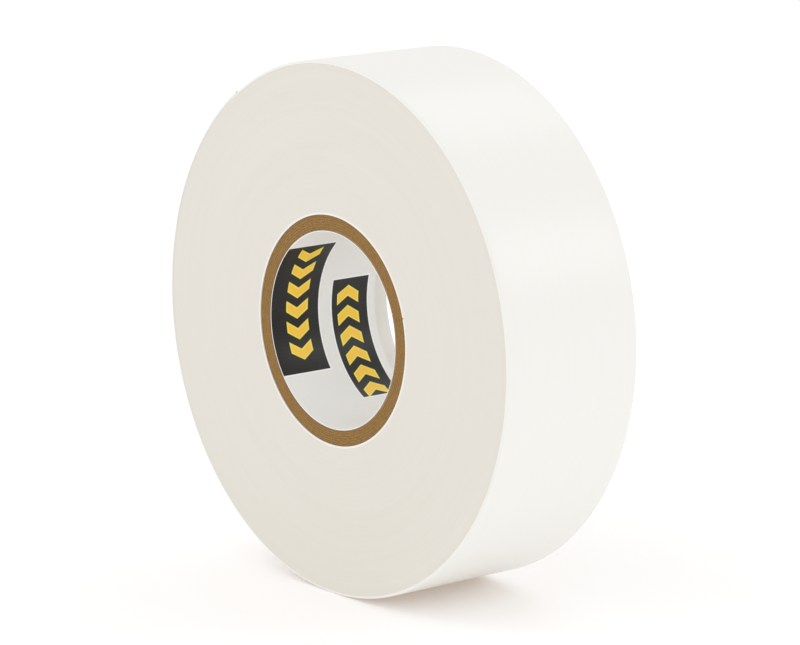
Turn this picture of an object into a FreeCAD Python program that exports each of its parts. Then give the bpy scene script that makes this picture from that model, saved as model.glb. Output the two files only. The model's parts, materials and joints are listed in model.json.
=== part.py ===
import FreeCAD, Part
import Sketcher
import math
import os

from FreeCAD import Placement, Rotation, Vector

# A roll of electrical tape standing on its rim.
# The roll's axis is Y and the origin is the centre of the core's bore. The front face looks along -Y.
# Angles round the axis are counted from +X towards +Z. The tape winds outwards the other way, which is a
# right-handed turn about +Y. All lengths are in millimetres and all angles in degrees.

DIMENSIONS = [
    ("tape_width", 19.05, "width of the tape, 3/4 inch"),
    ("roll_radius", 31.35, "largest radius of the winding, where its outer end lies"),
    ("bore_radius", 11.5, "radius of the hole in the core"),
    ("front_setback", 0.1, "how far the core's front end lies inside the roll's front face"),
    ("back_setback", 3.4, "how far the core's back end lies inside the roll's back face"),
    ("liner_thickness", 0.22, "white printed paper that lines the core"),
    ("ply_thickness", 0.29, "one ply of brown core board"),
    ("ply_count", 6, "number of board plies"),
    ("seam_gap", 0.15, "open joint between the edges of one spiral-wound ply"),
    ("seam_lean", 24, "lean of that joint away from the axis, in degrees"),
    ("liner_seam_angle", 40, "where the liner's joint lies, in degrees"),
    ("ply_seam_step", 77, "turn from one ply's joint to the next, in degrees"),
    ("film_thickness", 0.12, "vinyl backing"),
    ("adhesive_thickness", 0.03, "rubber adhesive under the backing"),
    ("start_gap", 0.6, "open joint left at the first turn's cut start"),
    ("start_angle", 15, "where the first turn starts on the core, in degrees"),
    ("end_angle", 125, "where the tape's free end lies, in degrees"),
    ("strip_arc", 10, "arc of one stretch of the free end, in degrees"),
    ("strip_count", 4, "number of stretches that peel off one after another"),
    ("free_lift", 0.05, "how far the free end stands off the turn below it"),
]

# Sizes that follow from those above.
DERIVED = [
    ("core_length", "=tape_width - front_setback - back_setback"),
    ("core_shift", "=(front_setback - back_setback) / 2"),
    ("liner_radius", "=bore_radius + liner_thickness"),
    ("core_radius", "=liner_radius + ply_count * ply_thickness"),
    ("tape_thickness", "=film_thickness + adhesive_thickness"),
    ("first_turn_radius", "=core_radius + tape_thickness"),
    # One turn of the winding is two half circles, whose centres lie this far to each side of the axis.
    ("winding_offset", "=tape_thickness / 4"),
    ("outer_half_radius", "=roll_radius - winding_offset"),
    ("inner_half_radius", "=roll_radius - 3 * winding_offset"),
    ("free_arc", "=strip_arc * strip_count"),
]

DOC = FreeCAD.newDocument("tape_roll")
SHEET = DOC.addObject("Spreadsheet::Sheet", "Dims")
SUB_PARTS = []


def fill_sheet():
    """Writes the driving sizes as plain numbers and the others as formulas."""
    row = 1
    for alias, value, note in DIMENSIONS:
        SHEET.set(f"A{row}", alias)
        SHEET.set(f"B{row}", str(value))
        SHEET.setAlias(f"B{row}", alias)
        SHEET.set(f"C{row}", note)
        row += 1
    DOC.recompute()
    for alias, formula in DERIVED:
        SHEET.set(f"A{row}", alias)
        SHEET.set(f"B{row}", formula)
        SHEET.setAlias(f"B{row}", alias)
        DOC.recompute()
        row += 1


def size(alias):
    return float(SHEET.get(alias))


def new_body(label):
    body = DOC.addObject("PartDesign::Body", label)
    body.Label = label
    SUB_PARTS.append(body)
    return body


def origin_plane(body, role):
    return next(f for f in body.Origin.OriginFeatures if f.Role == role)


def new_sketch(body, name, plane, shift_x="0", shift_y="0"):
    """A sketch on one of the body's own planes, its origin moved along its own axes."""
    sketch = body.newObject("Sketcher::SketchObject", name)
    sketch.AttachmentSupport = [(origin_plane(body, plane), "")]
    sketch.MapMode = "FlatFace"
    sketch.setExpression("AttachmentOffset.Base.x", f"({shift_x}) * 1 mm")
    sketch.setExpression("AttachmentOffset.Base.y", f"({shift_y}) * 1 mm")
    return sketch


def constrain(sketch, kind, *where, formula=None, value=0.0):
    """Adds a constraint, and binds its size to the sheet if a formula is given."""
    if formula is None:
        return sketch.addConstraint(Sketcher.Constraint(kind, *where))
    index = sketch.addConstraint(Sketcher.Constraint(kind, *where, value))
    sketch.setExpression(f"Constraints[{index}]", formula)
    return index


def draw_rectangle(sketch, start, end):
    """A rectangle whose edges 0 and 2 lie along x and whose edges 1 and 3 lie along y, edge 1 at end.

    start and end are only first guesses, which the sizes given later move. Edge 1 is left free to lean.
    """
    corners = [Vector(start, -1, 0), Vector(end, -1, 0), Vector(end, 1, 0), Vector(start, 1, 0)]
    for k in range(4):
        sketch.addGeometry(Part.LineSegment(corners[k], corners[(k + 1) % 4]), False)
    for k in range(4):
        constrain(sketch, "Coincident", k, 2, (k + 1) % 4, 1)
    constrain(sketch, "Horizontal", 0)
    constrain(sketch, "Horizontal", 2)
    constrain(sketch, "Vertical", 3)


def draw_section(sketch, inner, outer, length, side=1):
    """A rectangle from the inner to the outer radius, centred on the sketch's x axis.

    inner, outer and length are formulas. side is 1 for a section to the right of the axis, -1 to its left.
    """
    draw_rectangle(sketch, side * 1.0, side * 2.0)
    constrain(sketch, "Symmetric", 1, 1, 1, 2, -1)
    constrain(sketch, "DistanceY", 1, 1, 1, 2, formula=length, value=2.0)
    if inner is None:
        constrain(sketch, "PointOnObject", 3, 1, -2)
    else:
        constrain(sketch, "Distance", 3, 1, -2, formula=inner, value=1.0)
    constrain(sketch, "Distance", 1, 1, -2, formula=outer, value=2.0)


def revolve(body, sketch, name, angle):
    """Turns a section about the sketch's own y axis, the way the tape winds."""
    turn = body.newObject("PartDesign::Revolution", name)
    turn.Profile = sketch
    turn.ReferenceAxis = (sketch, ["V_Axis"])
    turn.setExpression("Angle", angle)
    sketch.Visibility = False
    return turn


def turn_body(body, angle, offset=None):
    """Turns a body round the roll's axis by a formula, and moves it off the axis towards the free end."""
    body.Placement = Placement(Vector(), Rotation(Vector(0, -1, 0), 1))
    body.setExpression("Placement.Rotation.Angle", f"({angle}) * 1 deg")
    if offset is not None:
        body.setExpression("Placement.Base.x", f"{offset} * 1 mm * cos(Dims.end_angle * 1 deg)")
        body.setExpression("Placement.Base.z", f"{offset} * 1 mm * sin(Dims.end_angle * 1 deg)")


def make_core_tube(label, inner, outer, seam_angle):
    """One spiral-wound layer of the core: a tube with a leaning open joint from end to end."""
    body = new_body(label)
    section = new_sketch(body, f"{label}_section", "XY_Plane", shift_y="Dims.core_shift")
    draw_section(section, inner, outer, "Dims.core_length")
    tube = revolve(body, section, f"{label}_tube", "360")
    DOC.recompute()
    whole = tube.Shape.Volume

    joint = new_sketch(body, f"{label}_joint", "YZ_Plane")
    draw_rectangle(joint, -2.0, 2.0)
    constrain(joint, "Vertical", 1)
    constrain(joint, "Symmetric", 0, 1, 2, 1, -1, 1)
    constrain(joint, "Distance", 0, formula="2 * Dims.core_length", value=4.0)
    constrain(joint, "Distance", 1, formula="Dims.seam_gap", value=2.0)
    joint.AttachmentOffset = Placement(Vector(), Rotation(Vector(0, 0, 1), 1))
    joint.setExpression("AttachmentOffset.Rotation.Angle", "Dims.seam_lean")
    cut = body.newObject("PartDesign::Pocket", f"{label}_joint_cut")
    cut.Profile = joint
    cut.Type = "Length"
    cut.setExpression("Length", f"({outer}) + Dims.ply_thickness")
    cut.Reversed = True
    joint.Visibility = False
    DOC.recompute()
    if not cut.Shape.Volume < whole:
        raise RuntimeError(f"the joint of {label} cut nothing")
    turn_body(body, seam_angle)


def make_core():
    """The paper liner and the board plies, each wound on the one inside it."""
    make_core_tube("core_liner", "Dims.bore_radius", "Dims.liner_radius", "Dims.liner_seam_angle")
    for k in range(int(size("ply_count"))):
        inner = f"Dims.liner_radius + {k} * Dims.ply_thickness"
        outer = f"Dims.liner_radius + {k + 1} * Dims.ply_thickness"
        seam = f"Dims.liner_seam_angle + {k + 1} * Dims.ply_seam_step"
        make_core_tube(f"core_ply_{k + 1}", inner, outer, seam)


def make_first_turn():
    """The turn of tape that is stuck to the core, open at its cut start."""
    body = new_body("tape_first_turn")
    section = new_sketch(body, "first_turn_section", "XY_Plane")
    draw_section(section, "Dims.core_radius", "Dims.first_turn_radius", "Dims.tape_width")
    open_arc = "Dims.start_gap / Dims.core_radius * 180 / pi"
    revolve(body, section, "first_turn_band", f"360 - {open_arc}")
    turn_body(body, "Dims.start_angle")


def make_wound_turns():
    """All turns between the first and the last, with the step where the last turn begins."""
    body = new_body("tape_wound_turns")
    lower = new_sketch(body, "wound_lower_section", "XY_Plane", "-Dims.winding_offset")
    draw_section(lower, None, "Dims.inner_half_radius - Dims.tape_thickness", "Dims.tape_width")
    revolve(body, lower, "wound_lower_half", "180")
    upper = new_sketch(body, "wound_upper_section", "XY_Plane", "Dims.winding_offset")
    draw_section(upper, None, "Dims.outer_half_radius - Dims.tape_thickness", "Dims.tape_width", side=-1)
    revolve(body, upper, "wound_upper_half", "180")
    DOC.recompute()

    hole = new_sketch(body, "wound_hole", "XZ_Plane")
    hole.addGeometry(Part.Circle(Vector(), Vector(0, 0, 1), 1.0), False)
    constrain(hole, "Coincident", 0, 3, -1, 1)
    constrain(hole, "Radius", 0, formula="Dims.first_turn_radius", value=1.0)
    cut = body.newObject("PartDesign::Pocket", "wound_hole_cut")
    cut.Profile = hole
    cut.Type = "Length"
    cut.Midplane = True
    cut.setExpression("Length", "2 * Dims.tape_width")
    hole.Visibility = False
    turn_body(body, "Dims.end_angle")


def make_outer_turn(label, depth, thickness):
    """One layer of the last turn, up to where the free end begins. depth counts down from the film's top."""
    body = new_body(label)
    lower = new_sketch(body, f"{label}_lower_section", "XY_Plane", "-Dims.winding_offset")
    top = f"Dims.inner_half_radius - {depth}"
    draw_section(lower, f"{top} - {thickness}", top, "Dims.tape_width")
    revolve(body, lower, f"{label}_lower_half", "180")
    upper = new_sketch(body, f"{label}_upper_section", "XY_Plane", "Dims.winding_offset")
    top = f"Dims.outer_half_radius - {depth}"
    draw_section(upper, f"{top} - {thickness}", top, "Dims.tape_width", side=-1)
    revolve(body, upper, f"{label}_upper_part", "180 - Dims.free_arc")
    turn_body(body, "Dims.end_angle")


def make_end_strip(label, place, depth, thickness):
    """One layer of one stretch of the free end. Stretch 1 starts at the roll, the last has the tip."""
    body = new_body(label)
    section = new_sketch(body, f"{label}_section", "XY_Plane")
    top = f"Dims.outer_half_radius + Dims.free_lift - {depth}"
    draw_section(section, f"{top} - {thickness}", top, "Dims.tape_width")
    revolve(body, section, f"{label}_band", "Dims.strip_arc")
    from_angle = f"Dims.end_angle + Dims.free_arc - {place} * Dims.strip_arc"
    turn_body(body, from_angle, "Dims.winding_offset")


def make_tape():
    """The winding, its last turn in two layers, and the free end in stretches of two layers."""
    layers = [
        ("film", "0", "Dims.film_thickness"),
        ("adhesive", "Dims.film_thickness", "Dims.adhesive_thickness"),
    ]
    make_first_turn()
    make_wound_turns()
    for layer, depth, thickness in layers:
        make_outer_turn(f"tape_outer_turn_{layer}", depth, thickness)
        for k in range(int(size("strip_count"))):
            make_end_strip(f"tape_end_{layer}_{k + 1}", k, depth, thickness)


def check_document():
    """Stops at a failed object or a sub-part with no sound solid."""
    DOC.recompute()
    for item in DOC.Objects:
        if "Invalid" in item.State or "Error" in item.State:
            raise RuntimeError(f"{item.Label} failed: {item.State}")
    for body in SUB_PARTS:
        shape = body.Shape
        if shape.isNull() or not shape.isValid() or len(shape.Solids) != 1:
            raise RuntimeError(f"{body.Label} isn't one valid solid")


def write_parts():
    os.makedirs("parts", exist_ok=True)
    for body in SUB_PARTS:
        body.Shape.exportStep(os.path.join("parts", f"{body.Label}.step"))


def describe():
    """Prints the winding's length and turns, the hinge lines of the free end and each sub-part's volume."""
    area = math.pi * (size("roll_radius") ** 2 - size("core_radius") ** 2)
    turns = (size("roll_radius") - size("core_radius")) / size("tape_thickness")
    print(f"turns {turns:.1f}, tape length {area / size('tape_thickness') / 1000:.2f} m")
    offset = size("winding_offset")
    radius = size("outer_half_radius") + size("free_lift")
    end = math.radians(size("end_angle"))
    for k in range(int(size("strip_count"))):
        angle = end + math.radians((size("strip_count") - k) * size("strip_arc"))
        x = offset * math.cos(end) + radius * math.cos(angle)
        z = offset * math.sin(end) + radius * math.sin(angle)
        print(f"hinge line {k + 1}: x {x:.4f} z {z:.4f}")
    for body in SUB_PARTS:
        box = body.Shape.BoundBox
        print(f"{body.Label}: volume {body.Shape.Volume:.2f}, z {box.ZMin:.3f} to {box.ZMax:.3f}")


fill_sheet()
make_core()
make_tape()
check_document()
write_parts()
describe()
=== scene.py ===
import json
import math

import bmesh
import bpy
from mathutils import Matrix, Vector


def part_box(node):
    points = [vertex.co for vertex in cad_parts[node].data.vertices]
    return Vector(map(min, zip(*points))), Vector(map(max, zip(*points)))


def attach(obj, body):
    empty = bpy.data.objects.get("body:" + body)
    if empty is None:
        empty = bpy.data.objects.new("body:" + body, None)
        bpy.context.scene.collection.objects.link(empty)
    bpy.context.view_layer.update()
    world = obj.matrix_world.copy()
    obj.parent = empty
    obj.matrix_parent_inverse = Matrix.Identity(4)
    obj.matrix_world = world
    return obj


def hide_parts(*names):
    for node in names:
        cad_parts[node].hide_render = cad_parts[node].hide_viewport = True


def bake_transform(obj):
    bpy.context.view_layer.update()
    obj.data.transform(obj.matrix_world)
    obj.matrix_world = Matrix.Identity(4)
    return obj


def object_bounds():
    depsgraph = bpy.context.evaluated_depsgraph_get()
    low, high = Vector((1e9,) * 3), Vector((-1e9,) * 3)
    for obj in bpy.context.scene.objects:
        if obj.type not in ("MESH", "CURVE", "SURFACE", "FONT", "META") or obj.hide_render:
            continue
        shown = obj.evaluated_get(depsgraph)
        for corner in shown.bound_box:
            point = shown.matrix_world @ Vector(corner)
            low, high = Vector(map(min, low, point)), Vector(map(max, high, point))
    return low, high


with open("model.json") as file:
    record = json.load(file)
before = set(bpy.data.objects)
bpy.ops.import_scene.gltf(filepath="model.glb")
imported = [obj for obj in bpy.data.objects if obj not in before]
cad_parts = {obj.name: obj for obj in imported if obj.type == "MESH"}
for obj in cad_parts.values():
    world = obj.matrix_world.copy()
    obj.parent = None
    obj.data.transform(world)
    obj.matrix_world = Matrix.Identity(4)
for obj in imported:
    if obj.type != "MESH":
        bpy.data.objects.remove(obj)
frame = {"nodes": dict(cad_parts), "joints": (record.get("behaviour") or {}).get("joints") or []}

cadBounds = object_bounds()
mm = 0.001

# The roll's axis is Y and its front side looks along -Y. Angles round the axis count from +X towards +Z.
# The tape winds outwards as the angle falls, so the last turn is followed back from its tip as it rises.


def reach(node):  # a CAD node's least and greatest distance from the roll's axis
    spans = [math.hypot(v.co.x, v.co.z) for v in frame["nodes"][node].data.vertices]
    return min(spans), max(spans)


def hingeAngle(joint):
    return round(math.degrees(math.atan2(joint["pos_m"][2], joint["pos_m"][0])))


tape = {
    "lift": 0.05 * mm,  # how far the loose end stands off the turn below
    "film": 0.12 * mm,
    "inset": 0.01 * mm,  # keeps the rim's small unevenness inside the CAD rim
    "width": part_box("tape_wound_turns")[1].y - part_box("tape_wound_turns")[0].y,
    "thick": reach("tape_first_turn")[1] - reach("tape_first_turn")[0],
    "hinges": [hingeAngle(joint) for joint in frame["joints"]],
}
tape["stretch"] = tape["hinges"][0] - tape["hinges"][1]
tape["tip"] = tape["hinges"][-1] - tape["stretch"]
tape["root"] = tape["stretch"] * (len(tape["hinges"]) + 0.5)  # where the loose end starts, back from its tip
tape["radius"] = reach("tape_end_film_4")[1] - tape["lift"] - tape["inset"]
tape["offsets"] = 4  # the spiral is of half circles, so offset that a turn comes in by this many offsets
tape["offset"] = tape["thick"] / tape["offsets"]


def linear(code):  # an sRGB hex colour as the linear numbers that nodes take
    channels = [int(code[k:k + 2], 16) / 255 for k in (0, 2, 4)]
    return [c / 12.92 if c <= 0.04045 else ((c + 0.055) / 1.055) ** 2.4 for c in channels] + [1.0]


def addNode(tree, kind, links=None, **settings):  # a link's value is a node, a socket or a plain value
    node = tree.nodes.new(kind)
    for name, value in settings.items():
        setattr(node, name, value)
    for key, value in (links or {}).items():
        if isinstance(value, bpy.types.Node):
            value = next(socket for socket in value.outputs if socket.enabled)
        if isinstance(value, bpy.types.NodeSocket):
            tree.links.new(value, node.inputs[key])
        else:
            node.inputs[key].default_value = value
    return node


finish = {"onePoint": 0.001 * mm, "creaseDeg": 35}


def finishMesh(piece):  # open ends closed, doubles merged, faces outwards, real creases sharp
    work = bmesh.new()
    work.from_mesh(piece.data)
    bmesh.ops.remove_doubles(work, verts=work.verts, dist=finish["onePoint"])
    bmesh.ops.holes_fill(work, edges=[edge for edge in work.edges if edge.is_boundary], sides=0)
    bmesh.ops.recalc_face_normals(work, faces=work.faces)
    if work.calc_volume(signed=True) < 0:
        bmesh.ops.reverse_faces(work, faces=work.faces)
    work.to_mesh(piece.data)
    work.free()
    piece.data.polygons.foreach_set("use_smooth", [True] * len(piece.data.polygons))
    piece.data.set_sharp_from_angle(angle=math.radians(finish["creaseDeg"]))


# how fast the small unevenness changes: from turn to turn, across the width and round the roll
uneven = {"turnScale": 1800.0, "widthScale": 25.0, "aroundScale": 4.0}


def makeWindTree():
    # Sweeps an outline, given as points of (along the axis, away from it), round the roll's axis.
    tree = bpy.data.node_groups.new("windRound", "GeometryNodeTree")
    inputs = {
        "Outline": "Geometry", "Points": "Int", "Columns": "Int", "Middle": "Float", "Sweep": "Float",
        "Tip": "Float", "Lean": "Float", "Offset": "Float", "Spiral From": "Float", "Spiral To": "Float",
        "Seam Step": "Float", "Lift": "Float", "Lift From": "Float", "Lift To": "Float",
        "Wander": "Float", "Ripple": "Float", "Seed": "Float", "Material": "Material",
    }
    for label, kind in inputs.items():
        tree.interface.new_socket(label, in_out="INPUT", socket_type="NodeSocket" + kind)
    tree.interface.new_socket("Geometry", in_out="OUTPUT", socket_type="NodeSocketGeometry")
    given = addNode(tree, "NodeGroupInput").outputs
    kind = "ShaderNodeMath"

    # a grid, whose rows are the outline's points and whose columns go round the axis
    grid = addNode(tree, "GeometryNodeMeshGrid", {
        "Vertices X": given["Points"], "Vertices Y": given["Columns"]})
    cell = addNode(tree, "ShaderNodeSeparateXYZ", {0: addNode(tree, "GeometryNodeInputPosition")})
    index = addNode(tree, "GeometryNodeInputIndex")
    row = addNode(tree, kind, {0: index, 1: given["Columns"]}, operation="DIVIDE")
    row = addNode(tree, kind, {0: row}, operation="FLOOR")
    sample = addNode(tree, "GeometryNodeSampleIndex", data_type="FLOAT_VECTOR")
    tree.links.new(given["Outline"], sample.inputs["Geometry"])
    tree.links.new(addNode(tree, "GeometryNodeInputPosition").outputs[0], sample.inputs["Value"])
    tree.links.new(row.outputs[0], sample.inputs["Index"])
    along, out, _ = addNode(tree, "ShaderNodeSeparateXYZ", {0: sample}).outputs

    # the angle back from the tip, and how far the spiral has come in by then: two half circles a turn
    turned = addNode(tree, kind, {0: cell.outputs["Y"], 1: given["Sweep"], 2: given["Middle"]},
                     operation="MULTIPLY_ADD")
    left = addNode(tree, kind, {0: math.pi, 1: turned}, operation="SUBTRACT")
    half = addNode(tree, kind, {0: left}, operation="SIGN")
    cosine = addNode(tree, kind, {0: turned}, operation="COSINE")
    bow = addNode(tree, kind, {0: half, 1: cosine, 2: half}, operation="MULTIPLY_ADD")
    drop = addNode(tree, kind, {0: 2.0, 1: bow}, operation="SUBTRACT")
    early = addNode(tree, kind, {0: turned, 1: given["Seam Step"]}, operation="LESS_THAN")
    early = addNode(tree, kind, {0: early, 1: tape["offsets"]}, operation="MULTIPLY")
    drop = addNode(tree, kind, {0: drop, 1: early}, operation="MAXIMUM")
    drop = addNode(tree, kind, {0: drop, 1: given["Offset"]}, operation="MULTIPLY")
    share = addNode(tree, "ShaderNodeMapRange", {
        "Value": out, "From Min": given["Spiral From"], "From Max": given["Spiral To"]})
    drop = addNode(tree, kind, {0: drop, 1: share}, operation="MULTIPLY")
    raised = addNode(tree, "ShaderNodeMapRange", {
        "Value": turned, "From Min": given["Lift From"], "From Max": given["Lift To"],
        "To Min": given["Lift"], "To Max": 0.0}, interpolation_type="SMOOTHSTEP")
    radius = addNode(tree, kind, {0: out, 1: drop}, operation="SUBTRACT")
    radius = addNode(tree, kind, {0: radius, 1: raised}, operation="ADD")

    # where it lies round the axis, with the lean of a spiral joint
    leaning = addNode(tree, kind, {0: along, 1: given["Lean"]}, operation="MULTIPLY")
    leaning = addNode(tree, kind, {0: leaning, 1: out}, operation="DIVIDE")
    leaning = addNode(tree, kind, {0: leaning}, operation="ARCSINE")
    angle = addNode(tree, kind, {0: turned, 1: given["Tip"]}, operation="ADD")
    angle = addNode(tree, kind, {0: angle, 1: leaning}, operation="ADD")
    across = addNode(tree, kind, {0: angle}, operation="COSINE")
    up = addNode(tree, kind, {0: angle}, operation="SINE")
    around = addNode(tree, "ShaderNodeCombineXYZ", {0: across, 2: up})

    # some turns lie a touch further in than others, and the rim isn't quite true
    depth = addNode(tree, "ShaderNodeCombineXYZ", {1: out})
    depth = addNode(tree, "ShaderNodeVectorMath", {0: depth, 3: uneven["turnScale"]}, operation="SCALE")
    wanderAt = addNode(tree, "ShaderNodeVectorMath", {0: around, 1: depth}, operation="ADD")
    facing = addNode(tree, kind, {0: along}, operation="SIGN")
    which = addNode(tree, kind, {0: facing, 1: given["Seed"]}, operation="ADD")
    wander = addNode(tree, "ShaderNodeTexNoise", {
        "Vector": wanderAt, "W": which, "Scale": 1.0, "Detail": 4.0, "Roughness": 0.6},
        noise_dimensions="4D")
    wander = addNode(tree, kind, {0: wander, 1: given["Wander"]}, operation="MULTIPLY")
    inward = addNode(tree, kind, {0: wander, 1: facing}, operation="MULTIPLY")
    along = addNode(tree, kind, {0: along, 1: inward}, operation="SUBTRACT")
    width = addNode(tree, "ShaderNodeCombineXYZ", {1: along})
    width = addNode(tree, "ShaderNodeVectorMath", {0: width, 3: uneven["widthScale"]}, operation="SCALE")
    rippleAt = addNode(tree, "ShaderNodeVectorMath", {0: around, 1: width}, operation="ADD")
    ripple = addNode(tree, "ShaderNodeTexNoise", {
        "Vector": rippleAt, "Scale": uneven["aroundScale"], "Detail": 2.0})
    ripple = addNode(tree, kind, {0: ripple, 1: given["Ripple"]}, operation="MULTIPLY")
    radius = addNode(tree, kind, {0: radius, 1: ripple}, operation="SUBTRACT")

    place = addNode(tree, "ShaderNodeVectorMath", {0: around, 3: radius}, operation="SCALE")
    shift = addNode(tree, "ShaderNodeCombineXYZ", {1: along})
    place = addNode(tree, "ShaderNodeVectorMath", {0: place, 1: shift}, operation="ADD")
    moved = addNode(tree, "GeometryNodeSetPosition", {"Geometry": grid, "Position": place})
    real = addNode(tree, "GeometryNodeRealizeInstances", {"Geometry": moved})
    painted = addNode(tree, "GeometryNodeSetMaterial", {"Geometry": real, "Material": given["Material"]})
    addNode(tree, "NodeGroupOutput", {"Geometry": painted})
    return tree


def wind(name, outline, columns, material, start, sizes):  # sizes go to the tree's inputs, angles in degrees
    base = bpy.data.meshes.new(name + "Outline")
    base.from_pydata([(along, out, 0) for along, out in outline + outline[:1]], [], [])
    carrier = bpy.data.objects.new(name + "Carrier", base)
    bpy.context.scene.collection.objects.link(carrier)
    modifier = carrier.modifiers.new("wind", "NODES")
    modifier.node_group = windTree
    values = {"Points": len(outline) + 1, "Columns": columns + 1, "Material": material,
              "Sweep": 360.0, "Lift To": 1.0,
              "Spiral From": 1.0, "Spiral To": 2.0}  # metres away, which is no spiral
    values.update(sizes)
    values["Middle"] = start + values["Sweep"] / 2
    for socket in windTree.interface.items_tree:
        if socket.in_out == "INPUT" and socket.name in values:
            value = values[socket.name]
            if socket.name in ("Middle", "Sweep", "Tip", "Seam Step", "Lift From", "Lift To"):
                value = math.radians(value)
            modifier[socket.identifier] = value
    bpy.context.view_layer.update()
    made = bpy.data.meshes.new_from_object(carrier.evaluated_get(bpy.context.evaluated_depsgraph_get()))
    carrier.modifiers.remove(modifier)
    bpy.data.objects.remove(carrier)
    made.name = name
    piece = bpy.data.objects.new(name, made)
    bpy.context.scene.collection.objects.link(piece)
    finishMesh(piece)
    return piece


windTree = makeWindTree()


def newMaterial(name, values):  # a Principled material with these socket values, its tree and its shader
    material = bpy.data.materials.new(name)
    material.use_nodes = True
    shader = material.node_tree.nodes["Principled BSDF"]
    for socket, value in values.items():
        shader.inputs[socket].default_value = value
    return material, material.node_tree, shader


def roundTheAxis(tree):  # place in mm, then mm along the axis, mm away from it and the angle round it
    coords = addNode(tree, "ShaderNodeTexCoord").outputs["Object"]
    place = addNode(tree, "ShaderNodeVectorMath", {0: coords, 3: 1 / mm}, operation="SCALE")
    x, along, z = addNode(tree, "ShaderNodeSeparateXYZ", {0: place}).outputs
    angle = addNode(tree, "ShaderNodeMath", {0: z, 1: x}, operation="ARCTAN2")
    flat = addNode(tree, "ShaderNodeCombineXYZ", {0: x, 1: z})
    out = addNode(tree, "ShaderNodeVectorMath", {0: flat}, operation="LENGTH").outputs["Value"]
    return place, along, out, angle


print("helpers ready")


# the paper that lines the core: calendered and clay coated, so white, smooth and only faintly glossy,
# with blocks of dark ink that shine a little more than the paper
liner = {
    "paper": "F4F4F2", "keyline": "FFFFFF", "ink": "12110F", "mark": "FFD045", "markEdge": "FFEA55",
    # each row's middle angle, then in mm its middle along the axis, half width, half length, marks' offset
    "rows": [(175.4, -5.95, 3.5, 8.43, 0.35), (203.4, 2.26, 2.67, 7.76, -0.25)],
    "between": -1.5,  # mm along the axis, where the two rows part
    "edge": 0.03, "line": 0.18,
    "printDepth": 0.01,  # mm of the paper that the ink goes into
    "fibreDark": 0.955,  # the darkest fibres, as a share of the paper's colour
    "bandTurn": 14.0,  # radians a mm, which puts the ink's fine bands 0.45 mm apart
    "bandLow": 0.85, "bandHigh": 1.25,
    "paperRoughness": 0.5, "inkRoughness": 0.36,
    "marks": 6, "markPitch": 2.47, "markThick": 1.35, "markHalf": 1.6, "markLean": 0.62,
    "coating": 0.1,  # mm of white at the cut end, and the rest of it is as brown as the board
    "cutEnd": "8F7350",
}


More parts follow.
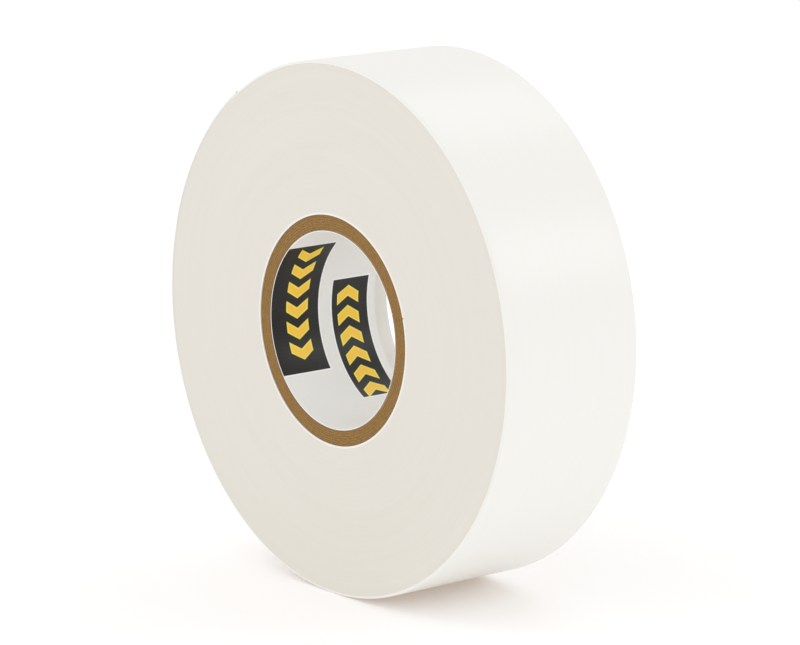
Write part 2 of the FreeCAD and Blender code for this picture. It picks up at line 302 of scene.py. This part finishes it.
def makeLinerPaper():
    material, tree, shader = newMaterial("coatedPaperPrinted", {"IOR": 1.5, "Specular IOR Level": 0.4})
    place, along, out, angle = roundTheAxis(tree)
    kind = "ShaderNodeMath"
    deep = addNode(tree, kind, {0: along, 1: liner["between"]}, operation="GREATER_THAN")
    middle, centre, halfWidth, halfLength, offset = [
        addNode(tree, kind, {0: deep, 1: back - front, 2: front}, operation="MULTIPLY_ADD")
        for front, back in zip(*liner["rows"])]
    middle = addNode(tree, kind, {0: middle}, operation="RADIANS")
    turned = addNode(tree, kind, {0: angle, 1: middle}, operation="SUBTRACT")
    turned = addNode(tree, kind, {0: turned, 1: math.pi / 2, 2: -math.pi / 2}, operation="WRAP")
    bore = reach("core_liner")[0] / mm
    u = addNode(tree, kind, {0: turned, 1: bore}, operation="MULTIPLY")
    v = addNode(tree, kind, {0: along, 1: centre}, operation="SUBTRACT")
    height = addNode(tree, kind, {0: v}, operation="ABSOLUTE")

    # how far inside the block a point lies, and how far inside one of its pointed marks
    length = addNode(tree, kind, {0: u}, operation="ABSOLUTE")
    insideLong = addNode(tree, kind, {0: halfLength, 1: length}, operation="SUBTRACT")
    insideWide = addNode(tree, kind, {0: halfWidth, 1: height}, operation="SUBTRACT")
    inside = addNode(tree, kind, {0: insideLong, 1: insideWide}, operation="MINIMUM")
    pointing = addNode(tree, kind, {0: deep, 1: -2 * liner["markLean"], 2: liner["markLean"]},
                       operation="MULTIPLY_ADD")
    height = addNode(tree, kind, {0: v, 1: offset}, operation="SUBTRACT")
    height = addNode(tree, kind, {0: height}, operation="ABSOLUTE")
    row = addNode(tree, kind, {0: height, 1: pointing, 2: u}, operation="MULTIPLY_ADD")
    half = liner["markPitch"] / 2
    wave = addNode(tree, kind, {0: row, 1: half}, operation="PINGPONG")
    onBar = addNode(tree, kind, {0: wave, 1: half - liner["markThick"] / 2}, operation="SUBTRACT")
    onHeight = addNode(tree, kind, {0: liner["markHalf"], 1: height}, operation="SUBTRACT")
    rowEnd = addNode(tree, kind, {0: row}, operation="ABSOLUTE")
    onRow = addNode(tree, kind, {0: liner["marks"] * half, 1: rowEnd}, operation="SUBTRACT")
    onMark = addNode(tree, kind, {0: onBar, 1: onHeight}, operation="MINIMUM")
    onMark = addNode(tree, kind, {0: onMark, 1: onRow}, operation="MINIMUM")

    fibre = addNode(tree, "ShaderNodeTexNoise", {
        "Vector": place, "Scale": 2.2, "Detail": 5.0, "Roughness": 0.65})
    paper = linear(liner["paper"])
    fibreDark = [c * liner["fibreDark"] for c in paper[:3]] + [1.0]
    shade = addNode(tree, "ShaderNodeMix", {0: fibre, 6: fibreDark, 7: paper}, data_type="RGBA")
    bands = addNode(tree, kind, {0: u, 1: liner["bandTurn"]}, operation="MULTIPLY")
    bands = addNode(tree, kind, {0: bands}, operation="SINE")
    bands = addNode(tree, "ShaderNodeMapRange", {
        "Value": bands, "From Min": -1.0, "To Min": liner["bandLow"], "To Max": liner["bandHigh"]})
    ink = addNode(tree, "ShaderNodeVectorMath", {0: linear(liner["ink"])[:3], 3: bands}, operation="SCALE")
    onSurface = addNode(tree, kind, {0: out, 1: bore + liner["printDepth"]}, operation="LESS_THAN")
    for measure, colour, begins in (
            (inside, linear(liner["keyline"]), -liner["line"]), (inside, ink, 0.0),
            (onMark, linear(liner["markEdge"]), 0.0), (onMark, linear(liner["mark"]), liner["line"])):
        mask = addNode(tree, "ShaderNodeMapRange", {
            "Value": measure, "From Min": begins - liner["edge"], "From Max": begins + liner["edge"],
            "To Max": onSurface})
        shade = addNode(tree, "ShaderNodeMix", {0: mask, 6: shade, 7: colour}, data_type="RGBA")
    front, back = [corner.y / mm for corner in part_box("core_liner")]
    ends = addNode(tree, kind, {0: along, 1: (front + back) / 2, 2: (back - front) / 2 - liner["edge"]},
                   operation="COMPARE")
    behind = addNode(tree, kind, {0: out, 1: bore + liner["coating"]}, operation="GREATER_THAN")
    cut = addNode(tree, kind, {0: behind, 1: ends}, operation="GREATER_THAN")
    shade = addNode(tree, "ShaderNodeMix", {0: cut, 6: shade, 7: linear(liner["cutEnd"])}, data_type="RGBA")
    tree.links.new(shade.outputs[2], shader.inputs["Base Color"])
    printed = addNode(tree, "ShaderNodeMapRange", {
        "Value": inside, "From Min": -liner["edge"], "From Max": liner["edge"],
        "To Min": liner["paperRoughness"], "To Max": liner["inkRoughness"]})
    tree.links.new(printed.outputs[0], shader.inputs["Roughness"])
    bump = addNode(tree, "ShaderNodeBump", {"Height": fibre, "Strength": 0.12, "Distance": 0.01 * mm})
    tree.links.new(bump.outputs[0], shader.inputs["Normal"])
    return material


# kraft core board: unbleached pulp, spiral wound and cut with a knife, so matt and brown with torn fibres
board = {"pale": "A88045", "brown": "7A5C2E", "joint": "5E4322", "jointShare": 0.22, "jointDepth": 0.6,
         # in mm, the width of the painted shade at the ring's two edges, and how dark it goes
         "edgeShadeWidth": 0.12, "edgeShadeDepth": 0.8,
         # a streak's scale round the ring, which makes mm of the angle, and across the ring
         "arcRadius": 13.5, "streakFine": 5.0}


def makeKraftBoard():
    material, tree, shader = newMaterial("kraftBoardCut", {"Roughness": 0.85, "IOR": 1.45})
    place, along, out, angle = roundTheAxis(tree)
    kind = "ShaderNodeMath"
    arc = addNode(tree, kind, {0: angle, 1: board["arcRadius"]}, operation="MULTIPLY")
    fine = addNode(tree, kind, {0: out, 1: board["streakFine"]}, operation="MULTIPLY")
    streakAt = addNode(tree, "ShaderNodeCombineXYZ", {0: arc, 1: fine, 2: along})
    streak = addNode(tree, "ShaderNodeTexNoise", {
        "Vector": streakAt, "Scale": 2.4, "Detail": 6.0, "Roughness": 0.7})
    grain = addNode(tree, "ShaderNodeTexNoise", {
        "Vector": place, "Scale": 7.0, "Detail": 3.0, "Roughness": 0.6})
    mixed = addNode(tree, kind, {0: streak, 1: grain}, operation="ADD")
    tone = addNode(tree, "ShaderNodeMapRange", {"Value": mixed, "From Min": 0.8, "From Max": 1.2})
    shade = addNode(tree, "ShaderNodeMix", {0: tone, 6: linear(board["brown"]), 7: linear(board["pale"])},
                    data_type="RGBA")
    inner, outer = [radius / mm for radius in reach("core_ply_1")]
    plies = addNode(tree, kind, {0: out, 1: inner}, operation="SUBTRACT")
    nearest = addNode(tree, kind, {0: plies, 1: (outer - inner) / 2}, operation="PINGPONG")
    joint = addNode(tree, "ShaderNodeMapRange", {
        "Value": nearest, "From Min": 0.0, "From Max": (outer - inner) * board["jointShare"],
        "To Min": 1.0, "To Max": 0.0})
    # the glue between the plies shows in places, and painted shade darkens the ring's inner and outer edges,
    # where it meets the liner and the first turn
    patchy = addNode(tree, "ShaderNodeMapRange", {"Value": streak, "From Min": 0.35, "From Max": 0.6})
    joint = addNode(tree, kind, {0: joint, 1: patchy}, operation="MULTIPLY")
    joint = addNode(tree, kind, {0: joint, 1: board["jointDepth"]}, operation="MULTIPLY")
    coreOuter = reach("tape_first_turn")[0] / mm
    fromMiddle = addNode(tree, kind, {0: out, 1: (inner + coreOuter) / 2}, operation="SUBTRACT")
    fromMiddle = addNode(tree, kind, {0: fromMiddle}, operation="ABSOLUTE")
    edgeShade = addNode(tree, "ShaderNodeMapRange", {
        "Value": fromMiddle, "From Min": (coreOuter - inner) / 2 - board["edgeShadeWidth"],
        "From Max": (coreOuter - inner) / 2, "To Max": board["edgeShadeDepth"]})
    joint = addNode(tree, kind, {0: joint, 1: edgeShade}, operation="MAXIMUM")
    shade = addNode(tree, "ShaderNodeMix", {0: joint, 6: shade, 7: linear(board["joint"])}, data_type="RGBA")
    tree.links.new(shade.outputs[2], shader.inputs["Base Color"])
    bump = addNode(tree, "ShaderNodeBump", {"Height": mixed, "Strength": 0.5, "Distance": 0.03 * mm})
    tree.links.new(bump.outputs[0], shader.inputs["Normal"])
    return material


# the cut edges of the wound vinyl: matt, and off-white because the adhesive shows between the turns, with
# a painted highlight in white next to the first turn and on the last few turns, where the edges catch the
# light
edges = {"pale": "E2DED5", "dark": "DEDAD0", "highlightWhite": "F1F0EB", "drawn": 4,
         "lineShare": 0.1, "grainShare": 0.4,
         # in mm, the painted highlight's width next to the first turn and on the last turns, and its soft
         # edge
         "highlightInside": 0.1, "highlightOutside": 0.4, "soft": 0.04}


def makeWoundEdges():
    material, tree, shader = newMaterial("vinylTapeCutEdges", {"Roughness": 0.62, "IOR": 1.53})
    place, _, out, angle = roundTheAxis(tree)
    kind = "ShaderNodeMath"
    # one turn is too fine to show, so a line stands for several
    pitch = tape["thick"] / mm * edges["drawn"]
    spiral = addNode(tree, kind, {0: out, 1: 2 * math.pi / pitch}, operation="MULTIPLY")
    spiral = addNode(tree, kind, {0: spiral, 1: angle}, operation="ADD")
    line = addNode(tree, kind, {0: spiral}, operation="SINE")
    line = addNode(tree, "ShaderNodeMapRange", {"Value": line, "From Min": -1.0})
    across = addNode(tree, kind, {0: angle}, operation="COSINE")
    bandAt = addNode(tree, "ShaderNodeCombineXYZ", {0: out, 1: across})
    band = addNode(tree, "ShaderNodeTexNoise", {
        "Vector": bandAt, "Scale": 0.9, "Detail": 4.0, "Roughness": 0.6})
    grain = addNode(tree, "ShaderNodeTexNoise", {
        "Vector": place, "Scale": 4.0, "Detail": 4.0, "Roughness": 0.6})
    tone = addNode(tree, kind, {0: line, 1: edges["lineShare"], 2: band}, operation="MULTIPLY_ADD")
    tone = addNode(tree, kind, {0: grain, 1: edges["grainShare"], 2: tone}, operation="MULTIPLY_ADD")
    tone = addNode(tree, "ShaderNodeMapRange", {"Value": tone, "From Min": 0.45, "From Max": 1.15})
    shade = addNode(tree, "ShaderNodeMix", {0: tone, 6: linear(edges["dark"]), 7: linear(edges["pale"])},
                    data_type="RGBA")
    # painted highlight: white rings on the side face next to the first turn and on the last few turns
    inner = reach("tape_first_turn")[1] / mm + edges["highlightInside"]
    outer = tape["radius"] / mm - edges["highlightOutside"]
    first = addNode(tree, kind, {0: inner, 1: out}, operation="SUBTRACT")
    last = addNode(tree, kind, {0: out, 1: outer}, operation="SUBTRACT")
    highlightWhite = addNode(tree, kind, {0: first, 1: last}, operation="MAXIMUM")
    highlightWhite = addNode(tree, "ShaderNodeMapRange", {"Value": highlightWhite, "From Max": edges["soft"]})
    shade = addNode(tree, "ShaderNodeMix", {0: highlightWhite, 6: shade, 7: linear(edges["highlightWhite"])},
                    data_type="RGBA")
    tree.links.new(shade.outputs[2], shader.inputs["Base Color"])
    height = addNode(tree, kind, {0: line, 1: grain}, operation="ADD")
    bump = addNode(tree, "ShaderNodeBump", {"Height": height, "Strength": 0.15, "Distance": 0.01 * mm})
    tree.links.new(bump.outputs[0], shader.inputs["Normal"])
    return material


# calendered soft PVC film: pulled from rollers, so satin, with faint streaks along its length
film = {"pale": "EFEEE9", "dark": "ECEBE6", "streakTurn": 1.5, "glossiest": 0.28, "dullest": 0.36}


def makeVinylFilm():
    material, tree, shader = newMaterial("calenderedVinylFilm", {"Roughness": 0.4, "IOR": 1.53})
    place, along, _, angle = roundTheAxis(tree)
    kind = "ShaderNodeMath"
    arc = addNode(tree, kind, {0: angle, 1: film["streakTurn"]}, operation="MULTIPLY")
    streakAt = addNode(tree, "ShaderNodeCombineXYZ", {0: arc, 1: along})
    streak = addNode(tree, "ShaderNodeTexNoise", {"Vector": streakAt, "Scale": 2.0, "Detail": 4.0})
    grain = addNode(tree, "ShaderNodeTexNoise", {"Vector": place, "Scale": 5.0, "Detail": 3.0})
    shade = addNode(tree, "ShaderNodeMix", {0: streak, 6: linear(film["dark"]), 7: linear(film["pale"])},
                    data_type="RGBA")
    tree.links.new(shade.outputs[2], shader.inputs["Base Color"])
    gloss = addNode(tree, "ShaderNodeMapRange", {
        "Value": streak, "To Min": film["glossiest"], "To Max": film["dullest"]})
    tree.links.new(gloss.outputs[0], shader.inputs["Roughness"])
    height = addNode(tree, kind, {0: streak, 1: grain}, operation="ADD")
    bump = addNode(tree, "ShaderNodeBump", {"Height": height, "Strength": 0.06, "Distance": 0.01 * mm})
    tree.links.new(bump.outputs[0], shader.inputs["Normal"])
    return material


# the tape's rubber resin adhesive: a rolled-on coat, so glossy and a little yellow, with a dimpled face
adhesive = {"pale": "E2DDCF", "dark": "D6D0BF"}


def makeAdhesive():
    material, tree, shader = newMaterial("rubberAdhesiveCoat", {"Roughness": 0.3, "IOR": 1.52})
    place = roundTheAxis(tree)[0]
    dimples = addNode(tree, "ShaderNodeTexNoise", {"Vector": place, "Scale": 2.5, "Detail": 3.0})
    shade = addNode(tree, "ShaderNodeMix", {
        0: dimples, 6: linear(adhesive["dark"]), 7: linear(adhesive["pale"])}, data_type="RGBA")
    tree.links.new(shade.outputs[2], shader.inputs["Base Color"])
    bump = addNode(tree, "ShaderNodeBump", {"Height": dimples, "Strength": 0.3, "Distance": 0.02 * mm})
    tree.links.new(bump.outputs[0], shader.inputs["Normal"])
    return material


paperLiner = makeLinerPaper()
kraftBoard = makeKraftBoard()
woundEdges = makeWoundEdges()
vinylFilm = makeVinylFilm()
rubberAdhesive = makeAdhesive()
print("materials ready")


core = {"jointGap": 0.04 * mm, "leanDeg": 24.0, "linerJoint": 40.0, "jointStep": 77.0, "corner": 0.03 * mm,
        "linerCorner": 0.02 * mm, "wander": 0.03 * mm, "columns": 180, "steps": 16}


def tubeOutline(inner, outer, front, back, corner, steps=1):  # steps along it keep a leaning tube round
    first, last = front + corner, back - corner
    line = [first + (last - first) * k / steps for k in range(steps + 1)]
    outside = [(along, outer) for along in line]
    inside = [(along, inner) for along in reversed(line)]
    return [(front, inner + corner), (front, outer - corner)] + outside + [
        (back, outer - corner), (back, inner + corner)] + inside


def makeCoreTube(node, jointDeg, corner, material):
    inner, outer = reach(node)
    low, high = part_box(node)
    gapDeg = math.degrees(core["jointGap"] / math.cos(math.radians(core["leanDeg"])) / inner)
    outline = tubeOutline(inner, outer, low.y, high.y, corner, core["steps"])
    piece = wind(
        node + "_finish", outline, core["columns"], material, jointDeg + gapDeg / 2, {
            "Sweep": 360.0 - gapDeg, "Lean": math.tan(math.radians(core["leanDeg"])),
            "Wander": core["wander"], "Seed": jointDeg})
    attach(piece, "roll")
    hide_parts(node)
    return piece


def makeCore():
    makeCoreTube("core_liner", core["linerJoint"], core["linerCorner"], paperLiner)
    plies = sorted(name for name in frame["nodes"] if name.startswith("core_ply_"))
    for k, node in enumerate(plies):
        jointDeg = core["linerJoint"] + (k + 1) * core["jointStep"]
        makeCoreTube(node, jointDeg, core["corner"], kraftBoard)


makeCore()
print("core ready")


# towards both edges the last turn lies a touch lower, so the rim ends in a soft rounding
rim = {"rounding": 0.2 * mm, "bends": 6, "across": 8, "wander": 0.03 * mm, "ripple": 0.01 * mm,
       "spiralTurns": 6,  # over so many turns the plain rings turn into the last turn's spiral
       "sideFacing": 0.99,  # a face that looks this much along the axis is a side of the roll
       "columnDeg": 2, "columnsEach": 2, "bendColumnsEach": 6,  # columns of the last turn for each step
       "bendBefore": 0.21}  # how much of a bend lies before its hinge, as a share of a stretch


def rimLine(depth):  # the rim's outline from front to back, so far below its surface
    bevel = []
    for k in range(rim["bends"] + 1):
        turned = math.pi / 2 * (1 - k / rim["bends"])
        along = rim["rounding"] * (1 - math.sin(turned)) - tape["width"] / 2
        bevel.append((along, tape["radius"] - rim["rounding"] * (1 - math.cos(turned)) - depth))
    flat = tape["width"] - 2 * rim["rounding"]
    top = [(flat * (k / rim["across"] - 0.5), tape["radius"] - depth) for k in range(1, rim["across"])]
    return bevel + top + [(-along, out) for along, out in reversed(bevel)]


def makeWoundTurns():
    inner = reach("tape_first_turn")[1]
    outer = tape["radius"] - rim["rounding"] - tape["thick"]
    turns = round((outer - inner) / tape["thick"])
    side = [(-tape["width"] / 2, inner + (outer - inner) * k / turns) for k in range(turns)]
    outline = side + rimLine(tape["thick"]) + [(-along, out) for along, out in reversed(side)]
    piece = wind(
        "tape_wound_turns_finish", outline, 360 // rim["columnDeg"], woundEdges, 0.0, {
            "Tip": tape["tip"], "Offset": tape["offset"],
            "Spiral From": outer - rim["spiralTurns"] * tape["thick"], "Spiral To": outer,
            "Seam Step": rim["columnDeg"] / 2, "Wander": rim["wander"], "Ripple": rim["ripple"],
            "Seed": 3.0})
    piece.data.materials.append(vinylFilm)
    for face in piece.data.polygons:  # the turn under the last one shows its film where the end is peeled
        away = math.hypot(face.center.x, face.center.z)
        if away > outer + tape["thick"] and abs(face.normal.y) < rim["sideFacing"]:
            face.material_index = 1
    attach(piece, "roll")
    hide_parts("tape_wound_turns")


# the turn on the core, whose cut start the next turn presses nearly shut
firstTurn = {"startDeg": 15.0, "gap": 0.15 * mm, "corner": 0.02 * mm, "columns": 180}


def makeFirstTurn():
    inner, outer = reach("tape_first_turn")
    half = tape["width"] / 2
    gapDeg = math.degrees(firstTurn["gap"] / inner)
    piece = wind(
        "tape_first_turn_finish", tubeOutline(inner, outer, -half, half, firstTurn["corner"]),
        firstTurn["columns"], vinylFilm, firstTurn["startDeg"] + gapDeg, {
            "Sweep": 360.0 - gapDeg, "Seed": 5.0})
    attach(piece, "roll")
    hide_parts("tape_first_turn")


# each layer's top and bottom below the tape's outer face, its material and its slot
layers = {
    "film": (0.0, tape["film"], vinylFilm, "vinyl_film"),
    "adhesive": (tape["film"], tape["thick"], rubberAdhesive, "rubber_adhesive"),
}


def makeTapeLength(name, layer, start, sweep):  # one layer of a length of the last turn
    top, bottom, material, slot = layers[layer]
    outline = rimLine(top) + list(reversed(rimLine(bottom)))
    bends = sweep <= tape["stretch"]
    columns = round(sweep / rim["columnDeg"] * rim["bendColumnsEach" if bends else "columnsEach"])
    piece = wind(
        name, outline, columns, material, start, {
            "Sweep": sweep, "Tip": tape["tip"], "Offset": tape["offset"],
            "Spiral From": 0.0, "Spiral To": mm, "Lift": tape["lift"],
            "Lift From": tape["root"] - tape["stretch"], "Lift To": tape["root"],
            "Ripple": rim["ripple"], "Seed": 3.0})
    return piece


def makeLastTurn():
    stretch = tape["stretch"]
    bodies = ["roll"] + [joint["child"] for joint in frame["joints"]]
    count = len(frame["joints"])
    for layer in layers:
        sweep = 360.0 + rim["columnDeg"] - tape["root"]
        turn = makeTapeLength(f"tape_outer_turn_{layer}_finish", layer, tape["root"], sweep)
        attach(turn, "roll")
        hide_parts(f"tape_outer_turn_{layer}")
        for k in range(count):  # each bend is centred on its hinge
            hinge = stretch * (count - k)
            near = hinge - stretch / 2
            piece = makeTapeLength(f"tape_end_{layer}_{k + 1}_bend", layer, near, stretch)
            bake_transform(piece)
            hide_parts(f"tape_end_{layer}_{k + 1}")
        tip = makeTapeLength(f"tape_end_{layer}_tip", layer, 0.0, stretch / 2)
        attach(tip, bodies[-1])


makeWoundTurns()
makeFirstTurn()
makeLastTurn()
print("tape ready")


studio = {
    "floorSize": 6.0, "floorColour": "F1F5F9", "floorGlow": "736559",
    "walls": "FFFFFF", "wallsLight": 0.93, "wallsSeen": 1.0,
    "lamps": [  # name, place, size across and up in metres, watts, aimed at the roll
        ("topSoftbox", (-0.22, 0.78, 0.95), 0.55, 0.3, 0.5),
        ("rightSoftbox", (0.95, 0.9, 0.62), 0.3, 0.5, 1.0),
        ("frontSoftbox", (-0.45, -0.95, 1.25), 1.0, 1.0, 2.45),
        ("lowSoftbox", (0.95, -0.4, 0.16), 0.6, 0.25, 0.3),
    ],
    "eye": (354.63 * mm, -287.8 * mm, 97.28 * mm), "turnDeg": 50.872, "tiltDeg": 12.06, "lens": 180.4,
    "clip": (0.01, 20.0),  # metres
}


def makeFloor():
    half = studio["floorSize"] / 2
    level = cadBounds[0].z
    mesh = bpy.data.meshes.new("floor")
    corners = [(-half, -half, level), (half, -half, level), (half, half, level), (-half, half, level)]
    mesh.from_pydata(corners, [], [(0, 1, 2, 3)])
    floor = bpy.data.objects.new("floor", mesh)
    bpy.context.scene.collection.objects.link(floor)
    # opal acrylic, lit a little from below by a warm lamp, so it goes to white but for the shadow
    material, tree, shader = newMaterial(
        "opalAcrylicFloor", {"Roughness": 0.9, "Base Color": linear(studio["floorColour"])})
    glow = addNode(tree, "ShaderNodeEmission", {"Color": linear(studio["floorGlow"])})
    both = addNode(tree, "ShaderNodeAddShader", {0: shader, 1: glow})
    tree.links.new(both.outputs[0], tree.nodes["Material Output"].inputs["Surface"])
    mesh.materials.append(material)


def makeWorld():
    world = bpy.data.worlds.new("whiteRoom")
    world.use_nodes = True
    tree = world.node_tree
    path = addNode(tree, "ShaderNodeLightPath").outputs
    seen = addNode(tree, "ShaderNodeMath", {0: path["Is Camera Ray"], 1: path["Is Transmission Ray"]},
                   operation="MAXIMUM")
    strength = addNode(tree, "ShaderNodeMapRange", {
        "Value": seen, "To Min": studio["wallsLight"], "To Max": studio["wallsSeen"]})
    tree.links.new(strength.outputs[0], tree.nodes["Background"].inputs["Strength"])
    tree.nodes["Background"].inputs["Color"].default_value = linear(studio["walls"])
    bpy.context.scene.world = world


def makeLamps():
    for name, place, across, up, watts in studio["lamps"]:
        lamp = bpy.data.lights.new(name, "AREA")
        lamp.shape = "RECTANGLE"
        lamp.size, lamp.size_y, lamp.energy = across, up, watts
        holder = bpy.data.objects.new(name, lamp)
        holder.location = place
        holder.rotation_euler = (-Vector(place)).to_track_quat("-Z", "Y").to_euler()
        bpy.context.scene.collection.objects.link(holder)


def makeCamera():
    camera = bpy.data.cameras.new("camera")
    camera.lens = studio["lens"]
    camera.clip_start, camera.clip_end = studio["clip"]
    holder = bpy.data.objects.new("camera", camera)
    holder.location = studio["eye"]
    holder.rotation_euler = (math.radians(90 - studio["tiltDeg"]), 0, math.radians(studio["turnDeg"]))
    bpy.context.scene.collection.objects.link(holder)
    bpy.context.scene.camera = holder


makeFloor()
makeWorld()
makeLamps()
makeCamera()
bpy.context.scene.view_settings.view_transform = "Standard"
print("studio ready")
